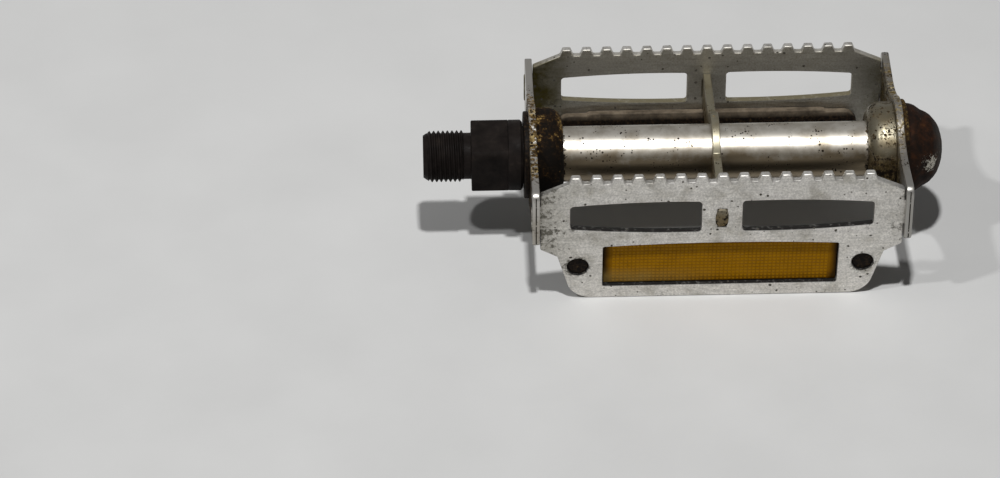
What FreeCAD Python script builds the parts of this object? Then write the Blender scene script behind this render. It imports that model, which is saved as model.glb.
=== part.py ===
"""Quill pedal with a toothed cage, side reflectors and cup-and-cone bearings.

Millimetres. Every piece is drawn round the axle: X runs along it with the crank on the -X side
and X = 0 at the centre brace, and Z is up. The finished pieces are then moved so that the origin
lies under the middle of the pedal, on the surface that it stands on.
"""

import FreeCAD
import Part
import Sketcher
import math
import os

doc = FreeCAD.newDocument("quill_pedal")
sheet = doc.addObject("Spreadsheet::Sheet", "dims")

# Driving dimensions in millimetres, angles in degrees.
DIMENSIONS = {
    # Spindle
    "thread_radius": 7.14,
    "thread_length": 13.3,
    "thread_relief_length": 2.4,
    "thread_relief_depth": 0.7,
    "thread_tip_length": 2.0,
    "thread_tip_depth": 1.3,
    "wrench_length": 10.2,
    "wrench_across_flats": 15.0,
    "wrench_turn_angle": 9.0,
    "flange_radius": 9.8,
    "flange_length": 4.0,
    "flange_bevel": 0.6,
    "spindle_small_radius": 5.0,
    "spindle_end_radius": 4.0,
    "spindle_end_bevel": 0.6,
    "spindle_end_past_nut": 1.2,
    # Bearings
    "ball_diameter": 3.969,
    "ball_count": 12,
    "ball_spacing_gap": 0.172,
    "ball_inset": 2.5,
    "race_clearance": 0.12,
    "cone_nose_length": 1.8,
    "cone_back_length": 4.2,
    "lock_washer_radius": 7.0,
    "lock_washer_thickness": 1.0,
    "lock_nut_across_flats": 12.0,
    "lock_nut_height": 4.0,
    "running_clearance": 0.3,
    "seat_clearance": 0.1,
    # Barrel and cups
    "barrel_radius": 7.7,
    "barrel_wall": 1.2,
    "cup_length": 7.5,
    "cup_rim_wall": 0.9,
    "cup_floor": 0.9,
    "cup_floor_width": 1.1,
    "cup_mouth_step": 1.1,
    "cup_neck_wall": 0.8,
    "cup_shoulder": 1.0,
    "cup_mouth_depth": 1.3,
    "cup_lip_overhang": 1.6,
    "cup_lip_thickness": 1.5,
    "cup_lip_round": 0.6,
    # Dust cap and dust ring
    "cap_shoulder_inset": 1.0,
    "cap_shoulder_length": 2.0,
    "cap_neck_length": 0.8,
    "cap_fold_radius": 2.0,
    "cap_dome_rise": 5.5,
    "cap_crown_radius": 18.5,
    "cap_wall": 0.9,
    "dust_ring_radius": 12.1,
    "dust_ring_thickness": 1.4,
    # End plates
    "end_plate_span": 99.0,
    "end_plate_thickness": 2.0,
    "wing_overhang": 2.0,
    "hub_rim": 2.5,
    "hub_angle": 55.0,
    "wing_top": 10.2,
    "wing_bottom": 7.1,
    "wing_corner_radius": 2.2,
    "waist_depth": 44.0,
    "waist_narrowing": 0.9,
    "waist_sweep_radius": 26.0,
    # Cage plates
    "cage_depth": 64.6,
    "cage_plate_thickness": 2.0,
    "cage_end_gap": 0.2,
    "tooth_count": 15,
    "tooth_pitch": 5.68,
    "tooth_top": 14.3,
    "tooth_depth": 2.0,
    "tooth_gap_top": 3.4,
    "tooth_gap_bottom": 1.9,
    "end_edge_top": 8.8,
    "end_edge_bottom": 9.5,
    "tongue_shoulder": 5.6,
    "tongue_top_drop": 12.3,
    "tongue_foot_inset": 3.9,
    "tongue_drop": 27.65,
    "tongue_corner_radius": 7.0,
    "tongue_corner_angle": 76.0,
    "bend_drop": 4.8,
    "bend_radius": 20.0,
    "tongue_lean_angle": 7.0,
    "slot_inner": 5.55,
    "slot_outer": 41.2,
    "slot_inner_top": 5.85,
    "slot_inner_bottom": 3.75,
    "slot_outer_top": 4.9,
    "slot_outer_bottom": 2.4,
    "slot_sweep_radius": 300.0,
    "slot_corner_radius": 1.0,
    "window_width": 64.4,
    "window_height": 14.4,
    "window_drop": 16.1,
    "window_arch_radius": 560.0,
    "window_corner_radius": 0.6,
    "stud_hole_radius": 3.0,
    "stud_offset": 6.8,
    "plate_tenon_height": 8.0,
    "plate_tenon_centre": 1.4,
    "tenon_head": 0.3,
    # Centre brace
    "brace_thickness": 2.2,
    "brace_hub_radius": 11.0,
    "brace_top": 5.7,
    "brace_bottom": 4.7,
    "brace_tenon_top": 3.35,
    "brace_tenon_bottom": 2.35,
    # Reflectors
    "housing_end_rim": 2.8,
    "housing_rim_top": 2.6,
    "housing_rim_bottom": 1.4,
    "housing_rim_depth": 2.4,
    "housing_depth": 6.7,
    "housing_back_height": 12.0,
    "housing_slope_rise": 2.1,
    "housing_edge_radius": 0.8,
    "housing_corner_radius": 2.5,
    "ear_reach": 3.9,
    "ear_top": 9.2,
    "ear_bottom": 5.2,
    "ear_corner_radius": 4.0,
    "ear_thickness": 2.4,
    "stud_recess": 0.4,
    "housing_end_wall": 1.7,
    "lens_flange_thickness": 1.3,
    "lens_flange_lap": 0.4,
    "lens_flange_rise": 1.4,
    "lens_window_clearance": 0.35,
    "lens_recess": 1.1,
}

for row, (alias, number) in enumerate(DIMENSIONS.items(), start=1):
    sheet.set(f"A{row}", alias.replace("_", " "))
    sheet.set(f"B{row}", str(number))
    sheet.setAlias(f"B{row}", alias)
doc.recompute()


# Sizes that carry their spreadsheet expression

class Size:
    """A length known as a number and as the spreadsheet expression that drives it."""

    def __init__(self, value, text):
        self.value = value
        self.text = text

    def __add__(self, other):
        other = as_size(other)
        return Size(self.value + other.value, f"({self.text} + {other.text})")

    def __sub__(self, other):
        other = as_size(other)
        return Size(self.value - other.value, f"({self.text} - {other.text})")

    def __mul__(self, other):
        other = as_size(other)
        return Size(self.value * other.value, f"({self.text} * {other.text})")

    def __truediv__(self, other):
        other = as_size(other)
        return Size(self.value / other.value, f"({self.text} / {other.text})")

    def __neg__(self):
        return Size(-self.value, f"(0 - {self.text})")


def as_size(item):
    """A plain number as a Size; a Size as it is."""
    if isinstance(item, Size):
        return item
    return Size(float(item), f"{float(item):.6f}")


def dim(alias):
    """The driving dimension in the spreadsheet cell of that name."""
    return Size(float(sheet.get(alias)), f"dims.{alias}")


def sine(angle):
    return Size(math.sin(math.radians(angle.value)), f"sin({angle.text} * 1 deg)")


def cosine(angle):
    return Size(math.cos(math.radians(angle.value)), f"cos({angle.text} * 1 deg)")


def square_root(item):
    return Size(math.sqrt(item.value), f"sqrt({item.text})")


ZERO = as_size(0)


# Sketch and feature helpers

def arc_stretch(start, end, radius):
    """The arc from start to end that turns left for a positive radius and right for a negative one."""
    chord = end - start
    half = chord.Length / 2
    rise = math.sqrt(max(radius * radius - half * half, 0.0))
    left = FreeCAD.Vector(-chord.y, chord.x, 0).normalize()
    centre = (start + end) / 2 + left * math.copysign(rise, radius)
    first, last = (start, end) if radius > 0 else (end, start)
    begin = math.atan2(first.y - centre.y, first.x - centre.x)
    finish = math.atan2(last.y - centre.y, last.x - centre.x)
    circle = Part.Circle(centre, FreeCAD.Vector(0, 0, 1), abs(radius))
    return Part.ArcOfCircle(circle, begin, finish)


def bind(sketch, kind, size, *elements):
    """Add a dimension to the sketch and drive it from the spreadsheet."""
    index = sketch.addConstraint(Sketcher.Constraint(kind, *elements, size.value))
    sketch.setExpression(f"Constraints[{index}]", size.text)


def outline(sketch, corners):
    """Draw a closed loop through corners, each (x, y) or (x, y, radius of the arc to the next)."""
    points = [FreeCAD.Vector(corner[0].value, corner[1].value, 0) for corner in corners]
    ends = points[1:] + points[:1]
    starts = []
    finishes = []
    for corner, start, end in zip(corners, points, ends):
        if len(corner) == 2:
            edge = sketch.addGeometry(Part.LineSegment(start, end))
            turns_right = False
        else:
            edge = sketch.addGeometry(arc_stretch(start, end, corner[2].value))
            turns_right = corner[2].value < 0
        starts.append((edge, 2 if turns_right else 1))
        finishes.append((edge, 1 if turns_right else 2))
    for finish, start in zip(finishes, starts[1:] + starts[:1]):
        sketch.addConstraint(Sketcher.Constraint("Coincident", *finish, *start))
    for corner, start in zip(corners, starts):
        bind(sketch, "DistanceX", corner[0], -1, 1, *start)
        bind(sketch, "DistanceY", corner[1], -1, 1, *start)
        if len(corner) == 3:
            radius = corner[2] if corner[2].value > 0 else -corner[2]
            bind(sketch, "Radius", radius, start[0])


def rectangle(sketch, left, bottom, right, top):
    outline(sketch, [(left, bottom), (right, bottom), (right, top), (left, top)])


def rounded_rectangle(sketch, half_width, bottom, top, radius):
    outline(sketch, [
        (radius - half_width, bottom),
        (half_width - radius, bottom, radius),
        (half_width, bottom + radius),
        (half_width, top - radius, radius),
        (half_width - radius, top),
        (radius - half_width, top, radius),
        (-half_width, top - radius),
        (-half_width, bottom + radius, radius),
    ])


def round_hole(sketch, x, y, radius):
    centre = FreeCAD.Vector(x.value, y.value, 0)
    edge = sketch.addGeometry(Part.Circle(centre, FreeCAD.Vector(0, 0, 1), radius.value))
    bind(sketch, "DistanceX", x, -1, 1, edge, 3)
    bind(sketch, "DistanceY", y, -1, 1, edge, 3)
    bind(sketch, "Radius", radius, edge)


def new_body(label):
    body = doc.addObject("PartDesign::Body", label)
    body.Label = label
    return body


def sketch_on(body, role, name, away=ZERO):
    """A sketch on one of the body's origin planes, moved along the plane's normal."""
    sketch = body.newObject("Sketcher::SketchObject", f"{body.Name}_{name}")
    plane = next(item for item in body.Origin.OriginFeatures if item.Role == role)
    sketch.AttachmentSupport = [(plane, "")]
    sketch.MapMode = "FlatFace"
    sketch.setExpression("AttachmentOffset.Base.z", away.text)
    return sketch


def revolved(body, name, corners):
    """Turn a half section, given as (place along the axle, radius), round the axle."""
    sketch = sketch_on(body, "XY_Plane", f"{name}_section")
    outline(sketch, corners)
    turn = body.newObject("PartDesign::Revolution", f"{body.Name}_{name}")
    turn.Profile = sketch
    turn.ReferenceAxis = (sketch, ["H_Axis"])
    turn.Angle = 360


def padded(body, sketch, name, length, symmetric=False):
    pad = body.newObject("PartDesign::Pad", f"{body.Name}_{name}")
    pad.Profile = sketch
    pad.SideType = "Symmetric" if symmetric else "One side"
    pad.setExpression("Length", length.text)
    return pad


def cut_through(body, sketch, name):
    """Cut the sketch's loops right through the body, both ways."""
    pocket = body.newObject("PartDesign::Pocket", f"{body.Name}_{name}")
    pocket.Profile = sketch
    pocket.Type = "ThroughAll"
    pocket.SideType = "Symmetric"
    return pocket


pieces = []


def finish(piece, half_turn=False):
    """Move a piece from the axle's frame to the standing frame and keep it for writing."""
    if half_turn:
        piece.Placement.Rotation = FreeCAD.Rotation(FreeCAD.Vector(0, 0, 1), 180)
    piece.setExpression("Placement.Base.x", frame_x.text)
    piece.setExpression("Placement.Base.z", frame_z.text)
    pieces.append(piece)


def mirrored(source, label):
    """The same piece on the other side of the axle."""
    copy = doc.addObject("Part::Mirroring", label)
    copy.Label = label
    copy.Source = source
    copy.Normal = FreeCAD.Vector(0, 1, 0)
    pieces.append(copy)


# Places that several pieces share, as distances from the centre brace along the axle

fit = dim("seat_clearance")
plate_in = dim("end_plate_span") / 2
plate_out = plate_in + dim("end_plate_thickness")
lip_face = plate_out + dim("cup_lip_thickness")
mouth_x = plate_out - dim("cup_mouth_depth")
ball_x = plate_in - dim("ball_inset")
ball_radius = dim("ball_diameter") / 2
ball_share = as_size(180) / dim("ball_count")
ball_circle = (dim("ball_diameter") + dim("ball_spacing_gap")) / (sine(ball_share) * 2)
race = ball_radius + dim("race_clearance")
race_floor_x = ball_x - race
socket_x = race_floor_x - dim("cup_floor")
mouth_r = ball_circle + race + dim("cup_mouth_step")
neck_r = mouth_r + dim("cup_neck_wall")
lip_r = neck_r + dim("cup_lip_overhang")
ring_face = plate_out + dim("dust_ring_thickness")
flange_x = ring_face + dim("running_clearance")
wrench_x = flange_x + dim("flange_length")
shoulder_x = wrench_x + dim("wrench_length")
spindle_reach = shoulder_x + dim("thread_length")
cone_back_x = ball_x + dim("cone_back_length")
nut_x = cone_back_x + dim("lock_washer_thickness")
spindle_end_x = nut_x + dim("lock_nut_height") + dim("spindle_end_past_nut")
cap_shoulder_r = lip_r - dim("cap_shoulder_inset")
cap_fold = dim("cap_fold_radius")
cap_fold_x = lip_face + dim("cap_shoulder_length")
dome_x = cap_fold_x + cap_fold + dim("cap_neck_length")
cap_reach = dome_x + dim("cap_dome_rise")
frame_x = (spindle_reach - cap_reach) / 2
frame_z = dim("tongue_drop")

# Cage plate faces: the outer face, and the lean of the tongue below the bend
cage_face = dim("cage_depth") / 2
sheet_thickness = dim("cage_plate_thickness")
lean = dim("tongue_lean_angle")
lean_slope = sine(lean) / cosine(lean)
half_lean = lean / 2
bend_corner = dim("bend_drop") + dim("bend_radius") * sine(half_lean) / cosine(half_lean)


def tongue_face(drop):
    """How far from the axle's plane the outer face of the tongue lies at that drop."""
    return cage_face - (drop - bend_corner) * lean_slope


# Spindle: one forging, from the crank thread to the lock nut's thread, with the inner cone on it
spindle = new_body("spindle")
thread_r = dim("thread_radius")
relief_r = thread_r - dim("thread_relief_depth")
flange_r = dim("flange_radius")
bevel = dim("flange_bevel")
end_r = dim("spindle_end_radius")
end_bevel = dim("spindle_end_bevel")
inner_race_r = ball_circle - race
relief_x = shoulder_x + dim("thread_relief_length")
revolved(spindle, "turning", [
    (-spindle_reach, ZERO),
    (spindle_end_x, ZERO),
    (spindle_end_x, end_r - end_bevel),
    (spindle_end_x - end_bevel, end_r),
    (socket_x, end_r),
    (socket_x, dim("spindle_small_radius")),
    (-ball_x, inner_race_r, -race),
    (-race - ball_x, ball_circle),
    (-flange_x, ball_circle),
    (-flange_x, flange_r - bevel),
    (-flange_x - bevel, flange_r),
    (bevel - shoulder_x, flange_r),
    (-shoulder_x, flange_r - bevel),
    (-shoulder_x, relief_r),
    (dim("thread_relief_depth") - relief_x, relief_r),
    (-relief_x, thread_r),
    (dim("thread_tip_length") - spindle_reach, thread_r),
    (-spindle_reach, thread_r - dim("thread_tip_depth")),
])
flats = sketch_on(spindle, "YZ_Plane", "wrench_square", -wrench_x)
flats.setExpression("AttachmentOffset.Rotation.Angle", dim("wrench_turn_angle").text)
half_flats = dim("wrench_across_flats") / 2
rectangle(flats, -half_flats, -half_flats, half_flats, half_flats)
round_hole(flats, ZERO, ZERO, dim("wrench_across_flats"))
flats_cut = spindle.newObject("PartDesign::Pocket", "spindle_flats")
flats_cut.Profile = flats
flats_cut.setExpression("Length", dim("wrench_length").text)
finish(spindle)

# Outer cone: screws on to the spindle's end and takes up the bearing play
outer_cone = new_body("outer_cone")
revolved(outer_cone, "turning", [
    (ball_x - dim("cone_nose_length"), end_r + fit),
    (cone_back_x, end_r + fit),
    (cone_back_x, ball_circle),
    (ball_x + race, ball_circle, -race),
    (ball_x, inner_race_r),
    (ball_x - dim("cone_nose_length"), inner_race_r),
])
finish(outer_cone)

# Lock washer between the cone and its nut
lock_washer = new_body("lock_washer")
washer_r = dim("lock_washer_radius")
revolved(lock_washer, "turning", [
    (cone_back_x, end_r + fit),
    (nut_x, end_r + fit),
    (nut_x, washer_r),
    (cone_back_x, washer_r),
])
finish(lock_washer)

# Lock nut: a thin hexagon nut under the dust cap
lock_nut = new_body("lock_nut")
hexagon = sketch_on(lock_nut, "YZ_Plane", "hexagon", nut_x)
corner_r = dim("lock_nut_across_flats") / math.sqrt(3)
NUT_SIDES = 6
turns = [as_size(360 / NUT_SIDES * side) for side in range(NUT_SIDES)]
outline(hexagon, [(corner_r * cosine(turn), corner_r * sine(turn)) for turn in turns])
round_hole(hexagon, ZERO, ZERO, end_r + fit)
padded(lock_nut, hexagon, "hexagon_pad", dim("lock_nut_height"))
finish(lock_nut)


# Bearing balls: a loose full ring of steel balls in each cup

def ball_ring(label, along):
    balls = []
    count = int(dim("ball_count").value)
    for number in range(count):
        turn = as_size(360 / count * number)
        ball = doc.addObject("Part::Sphere", f"{label}_{number + 1}")
        ball.setExpression("Radius", ball_radius.text)
        ball.setExpression("Placement.Base.x", along.text)
        ball.setExpression("Placement.Base.y", (ball_circle * cosine(turn)).text)
        ball.setExpression("Placement.Base.z", (ball_circle * sine(turn)).text)
        balls.append(ball)
    ring = doc.addObject("Part::Compound", label)
    ring.Label = label
    ring.Links = balls
    finish(ring)


ball_ring("inboard_balls", -ball_x)
ball_ring("outboard_balls", ball_x)

# Barrel: the steel tube round the spindle, its ends pushed into the cups
barrel = new_body("barrel")
barrel_r = dim("barrel_radius")
barrel_half = socket_x - fit
revolved(barrel, "tube", [
    (-barrel_half, barrel_r - dim("barrel_wall")),
    (barrel_half, barrel_r - dim("barrel_wall")),
    (barrel_half, barrel_r),
    (-barrel_half, barrel_r),
])
finish(barrel)


# Bearing cups: a bell on the barrel's end, a neck through the end plate, and a ball race inside

def bearing_cup(label, lip_corners):
    cup = new_body(label)
    cup_r = neck_r + dim("cup_shoulder")
    bore_r = ball_circle - dim("cup_floor_width")
    rim_x = plate_in - dim("cup_length")
    rim_r = barrel_r + dim("cup_rim_wall")
    bell_round = cup_r - rim_r
    revolved(cup, "pressing", [
        (rim_x, barrel_r + fit),
        (socket_x, barrel_r + fit),
        (socket_x, bore_r),
        (race_floor_x, bore_r),
        (race_floor_x, ball_circle, -race),
        (ball_x, ball_circle + race),
        (mouth_x, ball_circle + race),
        (mouth_x, mouth_r),
        *lip_corners,
        (plate_out, neck_r),
        (plate_in, neck_r),
        (plate_in, cup_r),
        (rim_x + bell_round, cup_r, bell_round),
        (rim_x, rim_r),
    ])
    return cup


lip_round = dim("cup_lip_round")
rolled_lip = [
    (lip_face, mouth_r),
    (lip_face, lip_r - lip_round, lip_round),
    (lip_face - lip_round, lip_r),
    (plate_out, lip_r),
]
flush_mouth = [(plate_out, mouth_r)]
finish(bearing_cup("inboard_cup", flush_mouth), half_turn=True)
finish(bearing_cup("outboard_cup", rolled_lip))

# Dust cap: a pressed dome with a shoulder on the cup's lip and a skirt inside its mouth
dust_cap = new_body("dust_cap")
crown = dim("cap_crown_radius")
dome_r = cap_shoulder_r - cap_fold
rise = dim("cap_dome_rise")
knuckle = (crown * rise * 2 - rise * rise - dome_r * dome_r) / ((crown - dome_r) * 2)
crown_x = cap_reach - crown
wall = dim("cap_wall")


def dome_joint(radius):
    """The point where the knuckle meets a crown of that radius."""
    reach = radius / (crown - knuckle)
    return crown_x + (dome_x - crown_x) * reach, (dome_r - knuckle) * reach


outer_joint = dome_joint(crown)
inner_joint = dome_joint(crown - wall)
skirt_x = mouth_x + fit
skirt_r = mouth_r - fit
revolved(dust_cap, "pressing", [
    (skirt_x, dome_r - wall),
    (dome_x, dome_r - wall, wall - knuckle),
    (*inner_joint, wall - crown),
    (cap_reach - wall, ZERO),
    (cap_reach, ZERO, crown),
    (*outer_joint, knuckle),
    (dome_x, dome_r),
    (cap_fold_x + cap_fold, dome_r, cap_fold),
    (cap_fold_x, cap_shoulder_r),
    (lip_face, cap_shoulder_r),
    (lip_face, skirt_r),
    (skirt_x, skirt_r),
])
finish(dust_cap)

# Inboard dust ring: a black washer that closes the cup's mouth round the spindle
dust_ring = new_body("inboard_dust_ring")
ring_bore = ball_circle + dim("running_clearance")
ring_r = dim("dust_ring_radius")
revolved(dust_ring, "turning", [
    (-ring_face, ring_bore),
    (-skirt_x, ring_bore),
    (-skirt_x, skirt_r),
    (-plate_out, skirt_r),
    (-plate_out, ring_r),
    (-ring_face, ring_r),
])
finish(dust_ring)


# End plates: flat steel stampings with a round hub on the cup and a wing to each cage plate

tenon_half = dim("plate_tenon_height") / 2
tenon_top = dim("plate_tenon_centre") + tenon_half
tenon_bottom = dim("plate_tenon_centre") - tenon_half


def end_plate(label):
    plate = new_body(label)
    face = sketch_on(plate, "YZ_Plane", "face", plate_in)
    reach = cage_face + dim("wing_overhang")
    corner = dim("wing_corner_radius")
    top = dim("wing_top")
    bottom = dim("wing_bottom")
    waist = dim("waist_depth") / 2
    waist_top = top - dim("waist_narrowing")
    waist_bottom = bottom + dim("waist_narrowing")
    hub = neck_r + fit + dim("hub_rim")
    hub_y = hub * cosine(dim("hub_angle"))
    hub_z = hub * sine(dim("hub_angle"))
    sweep = dim("waist_sweep_radius")
    outline(face, [
        (reach - corner, -bottom, corner),
        (reach, corner - bottom),
        (reach, top - corner, corner),
        (reach - corner, top),
        (waist, waist_top, -sweep),
        (hub_y, hub_z, hub),
        (-hub_y, hub_z, -sweep),
        (-waist, waist_top),
        (corner - reach, top, corner),
        (-reach, top - corner),
        (-reach, corner - bottom, corner),
        (corner - reach, -bottom),
        (-waist, -waist_bottom, -sweep),
        (-hub_y, -hub_z, hub),
        (hub_y, -hub_z, -sweep),
        (waist, -waist_bottom),
    ])
    round_hole(face, ZERO, ZERO, neck_r + fit)
    near = cage_face - sheet_thickness - fit
    far = cage_face + fit
    rectangle(face, near, tenon_bottom - fit, far, tenon_top + fit)
    rectangle(face, -far, tenon_bottom - fit, -near, tenon_top + fit)
    padded(plate, face, "blank", dim("end_plate_thickness"))
    return plate


finish(end_plate("inboard_end_plate"), half_turn=True)
finish(end_plate("outboard_end_plate"))

# Cage plate: one sheet, toothed along the top, pierced by two slots and the reflector's window,
# its lower tongue bent inwards, with a tenon at each end that is peened in the end plate
front_plate = new_body("front_cage_plate")
end_x = plate_in - dim("cage_end_gap")
tenon_x = plate_out + dim("tenon_head")
pitch = dim("tooth_pitch")
gaps = dim("tooth_count") - 1
window_drop = dim("window_drop")
tip_x = (gaps * pitch + pitch - dim("tooth_gap_top")) / 2
tooth_foot_x = (gaps * pitch + pitch - dim("tooth_gap_bottom")) / 2
tooth_top = dim("tooth_top")
gap_floor = tooth_top - dim("tooth_depth")
window_x = dim("window_width") / 2
stud_x = window_x + dim("stud_offset")
foot = stud_x - dim("tongue_foot_inset")
drop = dim("tongue_drop")
corner_round = dim("tongue_corner_radius")
corner_sweep = dim("tongue_corner_angle")
side_x = foot + corner_round * sine(corner_sweep)
side_z = corner_round - corner_round * cosine(corner_sweep) - drop
tongue_x = stud_x + dim("tongue_shoulder")
tongue_z = -dim("tongue_top_drop")
envelope = cage_face - tongue_face(drop) + sheet_thickness / cosine(lean)

blank = sketch_on(front_plate, "XZ_Plane", "blank_outline", cage_face - envelope)
outline(blank, [
    (-foot, -drop),
    (foot, -drop, corner_round),
    (side_x, side_z),
    (tongue_x, tongue_z),
    (end_x, -dim("end_edge_bottom")),
    (end_x, tenon_bottom),
    (tenon_x, tenon_bottom),
    (tenon_x, tenon_top),
    (end_x, tenon_top),
    (end_x, dim("end_edge_top")),
    (tooth_foot_x, gap_floor),
    (tip_x, tooth_top),
    (-tip_x, tooth_top),
    (-tooth_foot_x, gap_floor),
    (-end_x, dim("end_edge_top")),
    (-end_x, tenon_top),
    (-tenon_x, tenon_top),
    (-tenon_x, tenon_bottom),
    (-end_x, tenon_bottom),
    (-end_x, -dim("end_edge_bottom")),
    (-tongue_x, tongue_z),
    (-side_x, side_z, corner_round),
])
padded(front_plate, blank, "blank", envelope)

bend_z = -dim("bend_drop")
outer_bend = dim("bend_radius")
inner_bend = outer_bend - sheet_thickness
bend_y = outer_bend - cage_face
below = drop + sheet_thickness
above = tooth_top + sheet_thickness
inside = envelope + sheet_thickness - cage_face
bend = sketch_on(front_plate, "YZ_Plane", "bend_section")
outline(bend, [
    (-cage_face, bend_z, outer_bend),
    (bend_y - outer_bend * cosine(lean), bend_z - outer_bend * sine(lean)),
    (-tongue_face(below), -below),
    (-cage_face - sheet_thickness, -below),
    (-cage_face - sheet_thickness, bend_z),
])
outline(bend, [
    (sheet_thickness - cage_face, above),
    (sheet_thickness - cage_face, bend_z, inner_bend),
    (bend_y - inner_bend * cosine(lean), bend_z - inner_bend * sine(lean)),
    (sheet_thickness / cosine(lean) - tongue_face(below), -below),
    (inside, -below),
    (inside, above),
])
cut_through(front_plate, bend, "bend_cut")

openings = sketch_on(front_plate, "XZ_Plane", "openings")
slot_in = dim("slot_inner")
slot_out = dim("slot_outer")
slot_sweep = dim("slot_sweep_radius")
slot_round = dim("slot_corner_radius")
outline(openings, [
    (slot_in, slot_round - dim("slot_inner_bottom"), slot_round),
    (slot_in + slot_round, -dim("slot_inner_bottom"), slot_sweep),
    (slot_out - slot_round, -dim("slot_outer_bottom"), slot_round),
    (slot_out, slot_round - dim("slot_outer_bottom")),
    (slot_out, dim("slot_outer_top") - slot_round, slot_round),
    (slot_out - slot_round, dim("slot_outer_top"), slot_sweep),
    (slot_in + slot_round, dim("slot_inner_top"), slot_round),
    (slot_in, dim("slot_inner_top") - slot_round),
])
outline(openings, [
    (-slot_in, dim("slot_inner_top") - slot_round, slot_round),
    (-slot_in - slot_round, dim("slot_inner_top"), slot_sweep),
    (slot_round - slot_out, dim("slot_outer_top"), slot_round),
    (-slot_out, dim("slot_outer_top") - slot_round),
    (-slot_out, slot_round - dim("slot_outer_bottom"), slot_round),
    (slot_round - slot_out, -dim("slot_outer_bottom"), slot_sweep),
    (-slot_in - slot_round, -dim("slot_inner_bottom"), slot_round),
    (-slot_in, slot_round - dim("slot_inner_bottom")),
])
brace_half = dim("brace_thickness") / 2
brace_tenon_top = dim("brace_tenon_top")
brace_tenon_bottom = -dim("brace_tenon_bottom")
rectangle(openings, -brace_half - fit, brace_tenon_bottom - fit, brace_half + fit, brace_tenon_top + fit)
cut_through(front_plate, openings, "openings_cut")

tongue_openings = sketch_on(front_plate, "XZ_Plane", "tongue_openings")
tongue_openings.AttachmentOffset.Rotation = FreeCAD.Rotation(FreeCAD.Vector(1, 0, 0), lean.value)
tongue_openings.setExpression("AttachmentOffset.Rotation.Angle", f"{lean.text} * 1 deg")
tongue_openings.setExpression("AttachmentOffset.Base.y", (-window_drop).text)
tongue_openings.setExpression("AttachmentOffset.Base.z", tongue_face(window_drop).text)
window_round = dim("window_corner_radius")
window_half = dim("window_height") / 2
outline(tongue_openings, [
    (window_round - window_x, -window_half),
    (window_x - window_round, -window_half, window_round),
    (window_x, window_round - window_half),
    (window_x, window_half - window_round, window_round),
    (window_x - window_round, window_half, dim("window_arch_radius")),
    (window_round - window_x, window_half, window_round),
    (-window_x, window_half - window_round),
    (-window_x, window_round - window_half, window_round),
])
round_hole(tongue_openings, stud_x, ZERO, dim("stud_hole_radius"))
round_hole(tongue_openings, -stud_x, ZERO, dim("stud_hole_radius"))
cut_through(front_plate, tongue_openings, "tongue_openings_cut")

tooth_gap = sketch_on(front_plate, "XZ_Plane", "tooth_gap")
gap_x = (pitch - gaps * pitch) / 2
half_gap_top = dim("tooth_gap_top") / 2
half_gap_bottom = dim("tooth_gap_bottom") / 2
gap_flare = (half_gap_top - half_gap_bottom) / dim("tooth_depth") * sheet_thickness
outline(tooth_gap, [
    (gap_x - half_gap_bottom, gap_floor),
    (gap_x + half_gap_bottom, gap_floor),
    (gap_x + half_gap_top + gap_flare, tooth_top + sheet_thickness),
    (gap_x - half_gap_top - gap_flare, tooth_top + sheet_thickness),
])
first_gap = cut_through(front_plate, tooth_gap, "first_gap")
teeth = front_plate.newObject("PartDesign::LinearPattern", "front_cage_plate_teeth")
teeth.Originals = [first_gap]
teeth.Direction = (tooth_gap, ["H_Axis"])
teeth.setExpression("Length", ((gaps - 1) * pitch).text)
teeth.setExpression("Occurrences", gaps.text)
front_plate.Tip = teeth
finish(front_plate)
mirrored(front_plate, "rear_cage_plate")

# Centre brace: a flat steel plate round the barrel, tenoned into the webs of both cage plates
centre_brace = new_body("centre_brace")
brace_hub = dim("brace_hub_radius")
brace_top = dim("brace_top")
brace_bottom = dim("brace_bottom")
top_y = square_root(brace_hub * brace_hub - brace_top * brace_top)
bottom_y = square_root(brace_hub * brace_hub - brace_bottom * brace_bottom)
brace_y = cage_face - sheet_thickness - fit
brace_tenon_y = cage_face + dim("tenon_head")
brace_face = sketch_on(centre_brace, "YZ_Plane", "face")
outline(brace_face, [
    (brace_y, -brace_bottom),
    (brace_y, brace_tenon_bottom),
    (brace_tenon_y, brace_tenon_bottom),
    (brace_tenon_y, brace_tenon_top),
    (brace_y, brace_tenon_top),
    (brace_y, brace_top),
    (top_y, brace_top, brace_hub),
    (-top_y, brace_top),
    (-brace_y, brace_top),
    (-brace_y, brace_tenon_top),
    (-brace_tenon_y, brace_tenon_top),
    (-brace_tenon_y, brace_tenon_bottom),
    (-brace_y, brace_tenon_bottom),
    (-brace_y, -brace_bottom),
    (-bottom_y, -brace_bottom, brace_hub),
    (bottom_y, -brace_bottom),
])
round_hole(brace_face, ZERO, ZERO, barrel_r + fit)
padded(centre_brace, brace_face, "blank", dim("brace_thickness"), symmetric=True)
finish(centre_brace)


# Reflectors: drawn flat behind an upright plate, then leant against the tongue

tongue_inner_y = sheet_thickness * cosine(lean) - tongue_face(window_drop)
tongue_inner_z = sheet_thickness * sine(lean) - window_drop


def lean_on_tongue(body):
    """Set a piece that is drawn round the window's centre against the tongue's inner face."""
    body.Placement.Rotation = FreeCAD.Rotation(FreeCAD.Vector(1, 0, 0), lean.value)
    body.setExpression("Placement.Rotation.Angle", f"{lean.text} * 1 deg")
    body.setExpression("Placement.Base.x", frame_x.text)
    body.setExpression("Placement.Base.y", (tongue_inner_y + fit * cosine(lean)).text)
    body.setExpression("Placement.Base.z", (frame_z + tongue_inner_z + fit * sine(lean)).text)
    pieces.append(body)


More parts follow.
